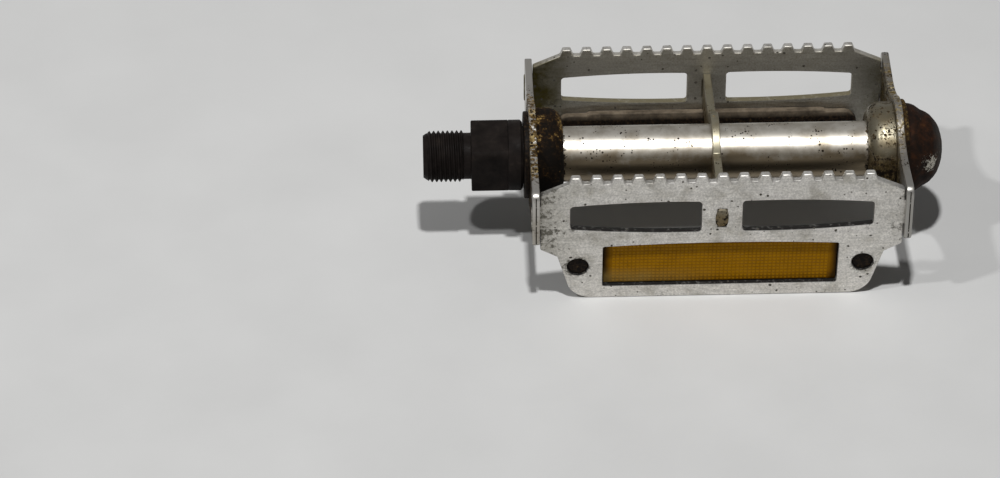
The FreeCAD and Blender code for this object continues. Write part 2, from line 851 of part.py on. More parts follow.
# Reflector housing: black moulded box with a recess for the lens and a stud in each ear
housing = new_body("front_reflector_housing")
box_x = window_x + dim("housing_end_rim")
box_top = window_half + dim("housing_rim_top")
box_bottom = -window_half - dim("housing_rim_bottom")
box_depth = dim("housing_depth")
back_top = box_bottom + dim("housing_back_height")
rim_depth = dim("housing_rim_depth")
edge_round = dim("housing_edge_radius")
box_section = sketch_on(housing, "YZ_Plane", "box_section")
outline(box_section, [
    (ZERO, box_bottom),
    (box_depth - edge_round, box_bottom, edge_round),
    (box_depth, box_bottom + edge_round),
    (box_depth, back_top),
    (rim_depth, back_top + dim("housing_slope_rise")),
    (rim_depth, box_top),
    (ZERO, box_top),
])
padded(housing, box_section, "box", box_x * 2, symmetric=True)
corner_trim = sketch_on(housing, "XZ_Plane", "corner_trim")
rectangle(corner_trim, -box_x * 2, box_bottom * 2, box_x * 2, box_top * 2)
rounded_rectangle(corner_trim, box_x, box_bottom, box_top, dim("housing_corner_radius"))
cut_through(housing, corner_trim, "corner_cut")
ears = sketch_on(housing, "XZ_Plane", "ears", -dim("ear_thickness"))
ear_x = stud_x + dim("ear_reach")
rounded_rectangle(ears, ear_x, -dim("ear_bottom"), dim("ear_top"), dim("ear_corner_radius"))
padded(housing, ears, "ear_bar", dim("ear_thickness"))
studs = sketch_on(housing, "XZ_Plane", "studs")
round_hole(studs, stud_x, ZERO, dim("stud_hole_radius") - fit)
round_hole(studs, -stud_x, ZERO, dim("stud_hole_radius") - fit)
padded(housing, studs, "stud_pads", sheet_thickness - dim("stud_recess"))
recess = sketch_on(housing, "XZ_Plane", "lens_recess")
recess_x = box_x - dim("housing_end_wall")
flange_top = window_half + dim("lens_flange_rise")
flange_bottom = -window_half - dim("lens_flange_lap")
rectangle(recess, -recess_x, flange_bottom - fit, recess_x, flange_top + fit)
recess_cut = housing.newObject("PartDesign::Pocket", "front_reflector_housing_recess")
recess_cut.Profile = recess
recess_cut.setExpression("Length", (dim("lens_flange_thickness") + fit).text)
lean_on_tongue(housing)
mirrored(housing, "rear_reflector_housing")

# Reflector lens: amber moulding, its flange in the housing and its face in the plate's window
lens = new_body("front_reflector_lens")
flange = sketch_on(lens, "XZ_Plane", "flange", -dim("lens_flange_thickness"))
flange_half = recess_x - fit
rectangle(flange, -flange_half, flange_bottom, flange_half, flange_top)
padded(lens, flange, "flange_pad", dim("lens_flange_thickness"))
lens_face = sketch_on(lens, "XZ_Plane", "face")
lens_clear = dim("lens_window_clearance")
lens_x = window_x - lens_clear
lens_z = window_half - lens_clear
outline(lens_face, [
    (-lens_x, -lens_z),
    (lens_x, -lens_z),
    (lens_x, lens_z, dim("window_arch_radius")),
    (-lens_x, lens_z),
])
padded(lens, lens_face, "face_pad", sheet_thickness + fit - dim("lens_recess"))
lean_on_tongue(lens)
mirrored(lens, "rear_reflector_lens")

# Build, check and write
doc.recompute()
for item in doc.Objects:
    if {"Invalid", "Error"} & set(item.State):
        raise RuntimeError(f"{item.Label} did not build: {item.State}")
for piece in pieces:
    if piece.Shape.isNull() or not piece.Shape.isValid():
        raise RuntimeError(f"{piece.Label} has no valid shape")

os.makedirs("parts", exist_ok=True)
for piece in pieces:
    piece.Shape.exportStep(f"parts/{piece.Label}.step")
    box = piece.Shape.BoundBox
    print(f"{piece.Label}: {len(piece.Shape.Solids)} solids, {piece.Shape.Volume:.1f} mm3, "
          f"X {box.XMin:.2f} {box.XMax:.2f} Y {box.YMin:.2f} {box.YMax:.2f} Z {box.ZMin:.2f} {box.ZMax:.2f}")
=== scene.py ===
"""A worn quill pedal, standing on the reflector side of its cage with the teeth up."""

import bmesh
import bpy
import math
from mathutils import Matrix, Vector, noise


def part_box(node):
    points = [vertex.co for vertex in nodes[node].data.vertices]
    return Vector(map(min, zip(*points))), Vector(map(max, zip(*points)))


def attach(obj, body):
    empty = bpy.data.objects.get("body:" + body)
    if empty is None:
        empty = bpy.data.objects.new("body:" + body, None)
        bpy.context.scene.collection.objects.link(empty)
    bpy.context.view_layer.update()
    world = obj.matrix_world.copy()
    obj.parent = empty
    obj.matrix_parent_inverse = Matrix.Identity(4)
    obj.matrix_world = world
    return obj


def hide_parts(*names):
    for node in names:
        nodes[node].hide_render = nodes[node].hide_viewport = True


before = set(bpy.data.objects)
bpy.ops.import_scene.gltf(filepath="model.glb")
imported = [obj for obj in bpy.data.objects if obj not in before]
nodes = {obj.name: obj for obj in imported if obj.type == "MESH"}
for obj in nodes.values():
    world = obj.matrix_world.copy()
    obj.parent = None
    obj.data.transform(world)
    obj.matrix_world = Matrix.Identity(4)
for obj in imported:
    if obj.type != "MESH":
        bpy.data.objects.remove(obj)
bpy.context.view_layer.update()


# Spindle: a steel forging, turned, threaded for the crank and milled with four wrench flats.
# It is blacked in an oxide bath and oily, and the cage turns on it.
# Sizes are in millimetres, and places along the axle are measured from the centre brace.

MM = 0.001
BRACE_X = 8.7
AXLE_Z = 27.65
THREAD_PITCH = 25.4 / 20
THREAD_RADIUS = 7.14
THREAD_DEPTH = 0.72
THREAD_ROOT = THREAD_RADIUS - THREAD_DEPTH
# Half the crest and one flank of the thread, as shares of its pitch
CREST_SHARE = 0.08
FLANK_SHARE = 0.34
TIP_RADIUS = 5.8
TIP_SLOPE = 0.68
THREAD_STEPS = 120
SPINDLE_TIP = -80.7
THREAD_END = -69.8
SPINDLE_SHOULDER = -67.4
WRENCH_END = -57.2
FLANGE_FACE = -53.2
FLANGE_RADIUS = 9.8
HALF_FLATS = 7.5
FLATS_TURN = math.radians(9)
CONE_RADIUS = 8.0
SPINDLE_SIDES = 96


def linear(code):
    """An sRGB hex colour as linear RGBA."""
    parts = [int(code[place:place + 2], 16) / 255 for place in (1, 3, 5)]
    return [part / 12.92 if part <= 0.04045 else ((part + 0.055) / 1.055) ** 2.4 for part in parts] + [1]


def wire(node, settings, links):
    """Give a shader node its settings and link what feeds it: a socket, or a node for its first output."""
    for key, value in settings.items():
        if key == "stops":
            while len(node.color_ramp.elements) < len(value):
                node.color_ramp.elements.new(1)
            for element, (place, colour) in zip(node.color_ramp.elements, value):
                element.position = place
                element.color = linear(colour)
        elif isinstance(key, int) or key in node.inputs:
            node.inputs[key].default_value = value
        else:
            setattr(node, key, value)
    for key, source in links.items():
        socket = source.outputs[0] if isinstance(source, bpy.types.Node) else source
        node.id_data.links.new(socket, node.inputs[key])


def add(tree, kind, settings=None, links=None):
    """Add a shader node of that kind to a tree, with its settings and links."""
    node = tree.nodes.new("ShaderNode" + kind)
    wire(node, settings or {}, links or {})
    return node


def new_finish(name):
    """A new material, with its node tree, shader and place on the part."""
    material = bpy.data.materials.new(name)
    material.use_nodes = True
    tree = material.node_tree
    place = add(tree, "TexCoord").outputs["Object"]
    return material, tree, tree.nodes["Principled BSDF"], place


def finished(name, mesh, body, sharp=35):
    """Turn a bmesh into a smooth-shaded piece with sharp edges kept, riding on a body."""
    bmesh.ops.recalc_face_normals(mesh, faces=mesh.faces)
    data = bpy.data.meshes.new(name)
    mesh.to_mesh(data)
    mesh.free()
    data.polygons.foreach_set("use_smooth", [True] * len(data.polygons))
    data.set_sharp_from_angle(angle=math.radians(sharp))
    piece = bpy.data.objects.new(name, data)
    bpy.context.scene.collection.objects.link(piece)
    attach(piece, body)
    return piece


def skin(mesh, rings, closed=False):
    """Lay faces from ring to ring of vertices, and back to the first if closed, or else cap both ends."""
    pairs = list(zip(rings, rings[1:]))
    if closed:
        pairs.append((rings[-1], rings[0]))
    for first, second in pairs:
        for here in range(len(first)):
            after = (here + 1) % len(first)
            mesh.faces.new((first[here], first[after], second[after], second[here]))
    if not closed:
        mesh.faces.new(rings[0])
        mesh.faces.new(rings[-1])


def turned(name, rows, sides, body, closed=False):
    """A piece of revolution about the axle from rows of (place along it, radius or radius at an angle)."""
    mesh = bmesh.new()
    rings = []
    for along, radius in rows:
        ring = []
        for side in range(sides):
            angle = 2 * math.pi * side / sides
            reach = radius(angle) if callable(radius) else radius
            ring.append(mesh.verts.new((
                (along + BRACE_X) * MM,
                -reach * math.sin(angle) * MM,
                (AXLE_Z + reach * math.cos(angle)) * MM,
            )))
        rings.append(ring)
    skin(mesh, rings, closed)
    return finished(name, mesh, body)


def thread_radius(along):
    """The radius of the crank thread round the spindle at that place."""
    def radius(angle):
        turn = ((along - SPINDLE_TIP) / THREAD_PITCH - angle / (2 * math.pi)) % 1
        flank = min(max((abs(turn - 0.5) - CREST_SHARE) / FLANK_SHARE, 0), 1)
        tip = TIP_RADIUS + max(along - SPINDLE_TIP, 0) * TIP_SLOPE
        return min(THREAD_RADIUS - THREAD_DEPTH * flank, tip)
    return radius


def wrench_radius(angle):
    """The radius round the wrench flats."""
    quarter = math.pi / 2
    off = (angle - FLATS_TURN + quarter / 2) % quarter - quarter / 2
    return min(HALF_FLATS / math.cos(off), FLANGE_RADIUS)


spindle_rows = [(SPINDLE_TIP, 5.0)]
for step in range(THREAD_STEPS + 1):
    along = SPINDLE_TIP + (THREAD_END - SPINDLE_TIP) * step / THREAD_STEPS
    spindle_rows.append((along, thread_radius(along)))
spindle_rows += [
    (THREAD_END + 0.3, THREAD_ROOT),
    (SPINDLE_SHOULDER - 0.2, THREAD_ROOT),
    (SPINDLE_SHOULDER, THREAD_ROOT + 0.2),
    (SPINDLE_SHOULDER, lambda angle: wrench_radius(angle) - 0.35),
    (SPINDLE_SHOULDER + 0.1, lambda angle: wrench_radius(angle) - 0.1),
    (SPINDLE_SHOULDER + 0.35, wrench_radius),
    (WRENCH_END - 0.2, wrench_radius),
    (WRENCH_END, lambda angle: min(wrench_radius(angle) + 0.2, FLANGE_RADIUS)),
    (WRENCH_END, FLANGE_RADIUS - 0.3),
    (WRENCH_END + 0.1, FLANGE_RADIUS - 0.1),
    (WRENCH_END + 0.3, FLANGE_RADIUS),
    (FLANGE_FACE - 0.6, FLANGE_RADIUS),
    (FLANGE_FACE, FLANGE_RADIUS - 0.6),
    # Inside the cage: the inner cone, the shaft and the thread for the lock nut
    (FLANGE_FACE, CONE_RADIUS),
    (-49.1, CONE_RADIUS),
    (-48.5, 6.5),
    (-47.0, 5.9),
    (44.0, 5.0),
    (44.0, 4.0),
    (56.8, 4.0),
    (57.4, 3.4),
]
spindle = turned("crank_spindle", spindle_rows, SPINDLE_SIDES, "spindle")
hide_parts("spindle")

# Black oxide on steel: near black and satin, browner where the oil has dried, and unevenly glossy.
# The grain of the bath is drawn at 0.8 mm, because its real size wouldn't show.
black_oxide, tree, shader, place = new_finish("black_oxide_steel")
film = add(tree, "TexNoise", {"Scale": 1 / (5 * MM), "Detail": 5, "Roughness": 0.65}, {"Vector": place})
tone = add(tree, "ValToRGB", {"stops": [(0.35, "#151211"), (0.6, "#211d1b"), (0.78, "#342d28")]}, {0: film})
rub = add(tree, "TexNoise", {"Scale": 1 / (0.8 * MM), "Detail": 4}, {"Vector": place})
gloss = add(tree, "MapRange", {"From Min": 0.3, "From Max": 0.7, "To Min": 0.36, "To Max": 0.56}, {0: rub})
grain = add(tree, "Bump", {"Strength": 0.25, "Distance": 0.05 * MM}, {"Height": rub})
wire(shader, {"Specular IOR Level": 0.03}, {"Base Color": tone, "Roughness": gloss, "Normal": grain})
spindle.data.materials.append(black_oxide)


# Bearings: the outer cone, its lock washer and nut, and a full ring of balls at each end.
# All are hardened steel, ground bright and greased, and are shut inside the cups.

WELD_REACH = 0.002

# Greased bearing steel: ground bright and mirror-like, yellowed and dulled in patches by old grease
bearing_steel, tree, shader, place = new_finish("greased_bearing_steel")
grease = add(tree, "TexNoise", {"Scale": 1 / (2 * MM), "Detail": 3}, {"Vector": place})
tone = add(tree, "ValToRGB", {"stops": [(0.4, "#b7b6b2"), (0.65, "#8a8066")]}, {0: grease})
gloss = add(tree, "MapRange", {
    "From Min": 0.35, "From Max": 0.7, "To Min": 0.14, "To Max": 0.4,
}, {0: grease})
wire(shader, {"Metallic": 1}, {"Base Color": tone, "Roughness": gloss})
for name in ("outer_cone", "lock_washer", "lock_nut", "inboard_balls", "outboard_balls"):
    nodes[name].data.materials.clear()
    nodes[name].data.materials.append(bearing_steel)
for name in ("inboard_balls", "outboard_balls"):
    # Welding takes away the face without area at each pole of a ball
    weld = nodes[name].modifiers.new("joined_corners", "WELD")
    weld.merge_threshold = WELD_REACH * MM


# Barrel: a steel tube round the spindle, drawn and bright plated, its ends pushed into the cups.
# The plating is pitted, with brown stain below the middle.

BARREL_RADIUS = 7.7
BARREL_BORE = 6.5
BARREL_HALF = 43.9
BARREL_SIDES = 128

# The crust of rust, from its dark hollows to its pale crests
BROWN_RUST = [(0.36, "#120c06"), (0.52, "#2a1e0e"), (0.66, "#4a391d"), (0.8, "#8a774c")]


def plated_steel(
    name, plating, rust, spread, tarnish, pits, gloss, crust_tones, collar=1000, sheared=-1, lean=0,
):
    """Plating on steel: shiny where whole, with golden tarnish that has run down, black pits, and matt rust.

    The rust and tarnish thin out at the spread from a point that is behind the axle by the lean. Rust also
    comes in at the collar, a distance from the brace, and a torn dark line runs along cut edges at the
    sheared distance, all in millimetres. The crust is painted paler high up and darker low down, as light
    and shade. Pits and crust are drawn in cells of nearly a millimetre, because the finest real ones
    wouldn't show.
    """
    material, tree, shader, place = new_finish(name)
    spot = add(tree, "SeparateXYZ", {}, {0: place})
    from_brace = add(tree, "Math", {"operation": "SUBTRACT", 1: BRACE_X * MM}, {0: spot.outputs["X"]})
    out = add(tree, "Math", {"operation": "ABSOLUTE"}, {0: from_brace})
    offset = add(tree, "VectorMath", {
        "operation": "MULTIPLY_ADD", 1: (0, 1, 1), 2: (0, -lean * MM, -AXLE_Z * MM),
    }, {0: place})
    away = add(tree, "VectorMath", {"operation": "LENGTH"}, {0: offset})
    near = add(tree, "MapRange", {
        "From Min": spread * MM, "From Max": 0.6 * spread * MM,
    }, {0: away.outputs["Value"]})
    at_end = add(tree, "MapRange", {
        "From Min": (collar - 1.6) * MM, "From Max": collar * MM, "To Max": 0.3,
    }, {0: out})
    cloud = add(tree, "TexNoise", {
        "Scale": 1 / (7 * MM), "Detail": 5, "Roughness": 0.62,
    }, {"Vector": place})
    run = add(tree, "MapRange", {
        "From Min": (AXLE_Z + 6.5) * MM, "From Max": (AXLE_Z + 1) * MM, "To Max": 0.26,
    }, {0: spot.outputs["Z"]})
    damp = add(tree, "Math", {"operation": "MULTIPLY_ADD", 1: 0.8 * rust, 2: 0.42 * rust}, {0: run})
    wet = add(tree, "Math", {"operation": "MULTIPLY_ADD"}, {0: near, 1: damp, 2: at_end})
    clouded = add(tree, "Math", {"operation": "MULTIPLY_ADD", 1: 0.6, 2: 0.2}, {0: cloud})
    soaked = add(tree, "Math", {"operation": "ADD"}, {0: clouded, 1: run})
    cast = add(tree, "MapRange", {
        "From Min": 0.85 - 0.4 * tarnish, "From Max": 1.1 - 0.4 * tarnish, "To Max": 0.8,
    }, {0: soaked})
    yellow = add(tree, "Math", {"operation": "MULTIPLY"}, {0: cast, 1: near})
    bright = add(tree, "MixRGB", {"Color1": linear(plating), "Color2": linear("#6b5730")}, {"Fac": yellow})
    bloom = add(tree, "TexNoise", {
        "Scale": 1 / (1.5 * MM), "Detail": 8, "Roughness": 0.7,
    }, {"Vector": place})
    rising = add(tree, "Math", {"operation": "ADD"}, {0: bloom, 1: wet})
    patch = add(tree, "MapRange", {"From Min": 0.75, "From Max": 0.84}, {0: rising})
    crust = add(tree, "TexNoise", {
        "Scale": 1 / (0.9 * MM), "Detail": 6, "Roughness": 0.72,
    }, {"Vector": place})
    # Painted light and shade: the crust is coloured paler high on the piece and darker low down
    painted_top_light = add(tree, "MapRange", {
        "From Min": (AXLE_Z + 3) * MM, "From Max": (AXLE_Z + 11) * MM, "To Min": -0.1, "To Max": 0.08,
    }, {0: spot.outputs["Z"]})
    swarm = add(tree, "TexNoise", {"Scale": 1 / (5 * MM), "Detail": 2}, {"Vector": place})
    clumped = add(tree, "Math", {"operation": "MULTIPLY_ADD", 1: 0.7, 2: -0.35}, {0: swarm})
    clumps_and_top_light = add(tree, "Math", {"operation": "ADD"}, {0: clumped, 1: painted_top_light})
    paler = add(tree, "Math", {"operation": "ADD"}, {0: crust, 1: clumps_and_top_light})
    brown = add(tree, "ValToRGB", {"stops": crust_tones}, {0: paler})
    worn = add(tree, "MixRGB", {}, {"Fac": patch, "Color1": bright, "Color2": brown})
    hole = add(tree, "TexVoronoi", {"Scale": 1 / (0.75 * MM)}, {"Vector": place})
    size = add(tree, "SeparateColor", {}, {0: hole.outputs["Color"]})
    crowd = add(tree, "MapRange", {"From Min": 0.42, "From Max": 0.66, "To Max": 0.62 * pits}, {0: swarm})
    crowded = add(tree, "Math", {"operation": "MULTIPLY"}, {0: crowd, 1: near})
    reach = add(tree, "Math", {"operation": "MULTIPLY"}, {0: size, 1: crowded})
    ragged = add(tree, "Math", {"operation": "MULTIPLY_ADD", 1: 0.6, 2: -0.24}, {0: crust})
    edge = add(tree, "Math", {"operation": "ADD"}, {0: hole, 1: ragged})
    pit = add(tree, "Math", {"operation": "LESS_THAN"}, {0: edge, 1: reach})
    facing = add(tree, "SeparateXYZ", {}, {0: add(tree, "TexCoord").outputs["Normal"]})
    cut_face = add(tree, "Math", {"operation": "COMPARE", 1: 1, 2: 0.15}, {
        0: add(tree, "Math", {"operation": "ABSOLUTE"}, {0: facing.outputs["Y"]}),
    })
    mid_edge = add(tree, "Math", {"operation": "COMPARE", 1: sheared * MM, 2: 0.16 * MM}, {0: out})
    broken = add(tree, "Math", {"operation": "GREATER_THAN", 1: 0.42}, {0: bloom})
    line = add(tree, "Math", {"operation": "MULTIPLY"}, {0: cut_face, 1: mid_edge})
    tear = add(tree, "Math", {"operation": "MULTIPLY"}, {0: line, 1: broken})
    dark = add(tree, "Math", {"operation": "MAXIMUM"}, {0: pit, 1: tear})
    colour = add(tree, "MixRGB", {"Color2": linear("#20180f")}, {"Fac": dark, "Color1": worn})
    dull = add(tree, "Math", {"operation": "MAXIMUM"}, {0: patch, 1: dark})
    polish = add(tree, "MapRange", {"To Min": gloss, "To Max": 0.85}, {0: dull})
    metal = add(tree, "MapRange", {"To Min": 1, "To Max": 0.1}, {0: dull})
    rough = add(tree, "Math", {"operation": "MULTIPLY"}, {0: crust, 1: patch})
    height = add(tree, "Math", {"operation": "SUBTRACT"}, {0: rough, 1: dark})
    relief = add(tree, "Bump", {"Strength": 0.5, "Distance": 0.12 * MM}, {"Height": height})
    wire(shader, {"Specular IOR Level": 0.12}, {
        "Base Color": colour, "Roughness": polish, "Metallic": metal, "Normal": relief,
    })
    return material


barrel = turned("spindle_barrel", [
    (-BARREL_HALF, BARREL_BORE), (-BARREL_HALF, BARREL_RADIUS),
    (BARREL_HALF, BARREL_RADIUS), (BARREL_HALF, BARREL_BORE),
], BARREL_SIDES, "cage", closed=True)
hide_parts("barrel")

# Plated tube: bright, with a strong highlight along it, dark specks, and a rusty collar at the cups
barrel.data.materials.append(plated_steel(
    "pitted_plated_tube", "#d2cdc3", rust=0.05, spread=30, tarnish=1.0, pits=0.92, gloss=0.375,
    crust_tones=BROWN_RUST, collar=42.0,
))


# Bearing cups: pressed steel bells that hold the barrel's ends, plated like it and badly rusted.
# The crank-side one is almost all brown; the other keeps some bright plating.

CUP_ROUNDING_STEPS = 8
DEEP_RUST = [(0.42, "#0c0805"), (0.56, "#1c130a"), (0.64, "#38260f"), (0.74, "#937947")]


def rounded(corners, steps=4):
    """A profile through corners of (along, radius, rounding), with each corner rounded off."""
    points = []
    for number, (along, radius, turn) in enumerate(corners):
        here = Vector((along, radius))
        if turn == 0:
            points.append((along, radius))
            continue
        before = (Vector(corners[number - 1][:2]) - here).normalized()
        after = (Vector(corners[(number + 1) % len(corners)][:2]) - here).normalized()
        half = before.angle(after) / 2
        start = here + before * turn / math.tan(half)
        end = here + after * turn / math.tan(half)
        centre = here + (before + after).normalized() * turn / math.sin(half)
        for step in range(steps + 1):
            share = step / steps
            away = ((start - centre) * (1 - share) + (end - centre) * share).normalized()
            points.append(tuple(centre + away * turn))
    return points


def cup_profile(side, lip):
    """The section of a bearing cup on one side of the brace, with or without the rolled lip."""
    mouth = [(53.0, 11.2, 0.3), (53.0, 13.6, 0.6), (51.5, 13.6, 0.2)] if lip else [(51.5, 11.2, 0.1)]
    corners = [
        (42.0, 7.8, 0), (44.0, 7.8, 0), (44.0, 6.9, 0), (44.9, 6.9, 0), (44.9, 8.0, 0), (45.5, 9.5, 0),
        (47.0, 10.1, 0), (50.2, 10.1, 0), (50.2, 11.2, 0), *mouth, (51.5, 12.0, 0), (49.5, 12.0, 0),
        (49.5, 13.0, 0.3), (42.0, 13.0, 4.35),
    ]
    return [(side * along, radius) for along, radius in rounded(corners, CUP_ROUNDING_STEPS)]


inboard_cup = turned("crank_side_cup", cup_profile(-1, False), BARREL_SIDES, "cage", closed=True)
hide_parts("inboard_cup")

# Plating lost to rust: a dark brown crust, matt and rough, with little metal left to shine
inboard_cup.data.materials.append(plated_steel(
    "rusted_plated_cup", "#8c8676", rust=1.5, spread=60, tarnish=0.9, pits=0.6, gloss=0.45,
    crust_tones=DEEP_RUST,
))
outboard_cup = turned("cap_side_cup", cup_profile(1, True), BARREL_SIDES, "cage", closed=True)
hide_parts("outboard_cup")

# Yellowed plating: a dull shine broken by many black pits, with brown rust at the lip
outboard_cup.data.materials.append(plated_steel(
    "pitted_plated_cup", "#857f6e", rust=0.52, spread=60, tarnish=0.95, pits=1.6, gloss=0.36,
    crust_tones=BROWN_RUST, collar=51,
))


# Dust cap: thin steel pressed into a dome, pushed into the outer cup's mouth.
# Its plating is gone: dark red-brown rust, scraped to bare metal where the pedal strikes the ground.

# The dome from its rim to its crown: places along the axle, each with its radius
CAP_PROFILE = [
    (53.0, 12.6), (53.6, 12.6), (54.6, 12.45), (55.7, 11.95), (56.7, 11.2), (57.4, 10.75),
    (58.1, 10.45), (58.9, 10.05), (59.9, 9.4), (60.6, 8.65), (61.4, 7.6), (62.15, 6.3),
    (62.75, 4.8), (63.1, 3.4), (63.28, 1.6), (63.3, 0.3),
]
CAP_SIDES = 128
CAP_STEPS = 4
CAP_HEART = Vector(((54.0 + BRACE_X) * MM, 0, AXLE_Z * MM))
TRUE_RINGS = 5
LUMP_SIZE = 3.5
SCALE_SIZE = 1.3
DENT_DEPTH = 0.25
STRIKE = (68.2 * MM, -10.1 * MM, 29.0 * MM)
CROWN_FOOT = 68.4
CROWN_TOP = 70.6

cap_outline = [(51.0, 9.7), (51.0, 11.1), (53.0, 11.1)]
for number in range(len(CAP_PROFILE) - 1):
    # A smooth curve runs through the points of the profile
    before, here, after, beyond = [
        Vector(CAP_PROFILE[min(max(number + shift, 0), len(CAP_PROFILE) - 1)]) for shift in (-1, 0, 1, 2)
    ]
    for step in range(CAP_STEPS):
        share = step / CAP_STEPS
        cap_outline.append(tuple(0.5 * (
            2 * here + (after - before) * share + (2 * before - 5 * here + 4 * after - beyond) * share ** 2
            + (3 * here - before - 3 * after + beyond) * share ** 3
        )))
cap_outline += [CAP_PROFILE[-1], (62.4, 0.3), (61.0, 6.0), (59.0, 9.0), (57.0, 9.7)]
dust_cap = turned("dome_dust_cap", cap_outline, CAP_SIDES, "cage", closed=True)
for vertex in dust_cap.data.vertices[CAP_SIDES * TRUE_RINGS:-CAP_SIDES * TRUE_RINGS]:
    # Knocks and rust scale leave the dome lumpy, while the rings at its rim and inside stay true
    lump = noise.noise(vertex.co / (LUMP_SIZE * MM)) * 0.6
    flake = noise.noise(vertex.co / (SCALE_SIZE * MM)) * 0.25
    vertex.co -= (vertex.co - CAP_HEART).normalized() * max(0.6 - lump - flake, 0) * DENT_DEPTH * MM
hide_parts("dust_cap")

# Rusted mild steel: a dark scale with redder bloom, matt, and bright scrapes on the crown
rust_scale, tree, shader, place = new_finish("rusted_mild_steel")
scale = add(tree, "TexNoise", {"Scale": 1 / (3 * MM), "Detail": 8, "Roughness": 0.7}, {"Vector": place})
tone = add(tree, "ValToRGB", {
    "stops": [(0.32, "#0b0604"), (0.5, "#1d1008"), (0.62, "#301a0c"), (0.8, "#4d3219")],
}, {0: scale})
scrape = add(tree, "TexNoise", {
    "Scale": 1 / (1.1 * MM), "Detail": 5, "Roughness": 0.75, "Distortion": 1.5,
}, {"Vector": place})
spot = add(tree, "SeparateXYZ", {}, {0: place})
from_strike = add(tree, "VectorMath", {"operation": "DISTANCE", 1: STRIKE}, {0: place})
struck = add(tree, "MapRange", {
    "From Min": 4.2 * MM, "From Max": 1.2 * MM, "To Max": 0.24,
}, {0: from_strike.outputs["Value"]})
bare = add(tree, "Math", {"operation": "ADD"}, {0: scrape, 1: struck})
mark = add(tree, "MapRange", {"From Min": 0.68, "From Max": 0.73}, {0: bare})
crown = add(tree, "MapRange", {
    "From Min": CROWN_FOOT * MM, "From Max": CROWN_TOP * MM, "To Max": 0.7,
}, {0: spot.outputs["X"]})
rubbed = add(tree, "Math", {"operation": "MULTIPLY"}, {0: crown, 1: scrape})
greyed = add(tree, "MixRGB", {"Color2": linear("#4a4844")}, {"Fac": rubbed, "Color1": tone})
colour = add(tree, "MixRGB", {"Color2": linear("#b3afa4")}, {"Fac": mark, "Color1": greyed})
polish = add(tree, "MapRange", {"To Min": 0.75, "To Max": 0.4}, {0: mark})
relief = add(tree, "Bump", {"Strength": 0.6, "Distance": 0.25 * MM}, {"Height": scale})
wire(shader, {"Specular IOR Level": 0.12}, {
    "Base Color": colour, "Roughness": polish, "Metallic": mark, "Normal": relief,
})
dust_cap.data.materials.append(rust_scale)


# Dust ring: a washer moulded in black plastic, which closes the crank-side cup round the spindle.
# It sits in the cup's mouth and turns with it, clear of the spindle.

# The dust ring lies within this distance of the axle, and the reflector housings beyond it
RING_REACH = 20

dust_ring = turned("spindle_dust_ring", rounded([
    (-52.9, 8.3, 0.2), (-50.3, 8.3, 0), (-50.3, 11.1, 0),
    (-51.5, 11.1, 0), (-51.5, 12.1, 0.1), (-52.9, 12.1, 0.4),
]), SPINDLE_SIDES, "cage", closed=True)
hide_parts("inboard_dust_ring")

# Moulded black plastic: faint sheen with brown specks of dirt, and grey dust on top of the housings.
# The texture of the mould is drawn at 0.35 mm, because its real size wouldn't show.
HOUSING_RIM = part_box("rear_reflector_housing")[1][2] / MM
black_plastic, tree, shader, place = new_finish("moulded_black_plastic")
facing = add(tree, "SeparateXYZ", {}, {0: add(tree, "TexCoord").outputs["Normal"]})
lying = add(tree, "MapRange", {"From Min": 0.5, "From Max": 0.9, "To Max": 0.85}, {0: facing.outputs["Z"]})
spot = add(tree, "SeparateXYZ", {}, {0: place})
clinging = add(tree, "MapRange", {
    "From Min": (HOUSING_RIM - 2.2) * MM, "From Max": (HOUSING_RIM - 0.8) * MM, "To Max": 0.6,
}, {0: spot.outputs["Z"]})
on_housing = add(tree, "Math", {"operation": "GREATER_THAN", 1: RING_REACH * MM}, {
    0: add(tree, "Math", {"operation": "ABSOLUTE"}, {0: spot.outputs["Y"]}),
})
upward = add(tree, "Math", {"operation": "MAXIMUM"}, {0: lying, 1: clinging})
settled = add(tree, "Math", {"operation": "MULTIPLY"}, {0: upward, 1: on_housing})
drift = add(tree, "TexNoise", {"Scale": 1 / (4 * MM), "Detail": 6, "Roughness": 0.65}, {"Vector": place})
patchy = add(tree, "MapRange", {"From Min": 0.3, "From Max": 0.6, "To Min": 0.25}, {0: drift})
dust = add(tree, "Math", {"operation": "MULTIPLY"}, {0: settled, 1: patchy})
grit = add(tree, "TexNoise", {"Scale": 1 / (0.7 * MM), "Detail": 5, "Roughness": 0.7}, {"Vector": place})
soiled = add(tree, "ValToRGB", {
    "stops": [(0.45, "#0f0c0a"), (0.6, "#261d15"), (0.72, "#463924")],
}, {0: grit})
colour = add(tree, "MixRGB", {"Color2": linear("#7d7161")}, {"Fac": dust, "Color1": soiled})
polish = add(tree, "MapRange", {"To Min": 0.55, "To Max": 0.9}, {0: dust})
texture = add(tree, "TexNoise", {"Scale": 1 / (0.35 * MM), "Detail": 2}, {"Vector": place})
relief = add(tree, "Bump", {"Strength": 0.15, "Distance": 0.03 * MM}, {"Height": texture})
wire(shader, {"Specular IOR Level": 0.06}, {"Base Color": colour, "Roughness": polish, "Normal": relief})
dust_ring.data.materials.append(black_plastic)


# End plates: flat steel stampings on the cups, plated, with a wing that takes each cage plate.
# Rust has come through along the cut edges.

END_PLATE_EASE = 0.3
GOLDEN_RUST = [(0.34, "#120d07"), (0.48, "#2e2210"), (0.6, "#574423"), (0.74, "#a18d62")]
OLIVE_RUST = [(0.34, "#1a140b"), (0.47, "#433616"), (0.58, "#776741"), (0.72, "#b9ad8a")]


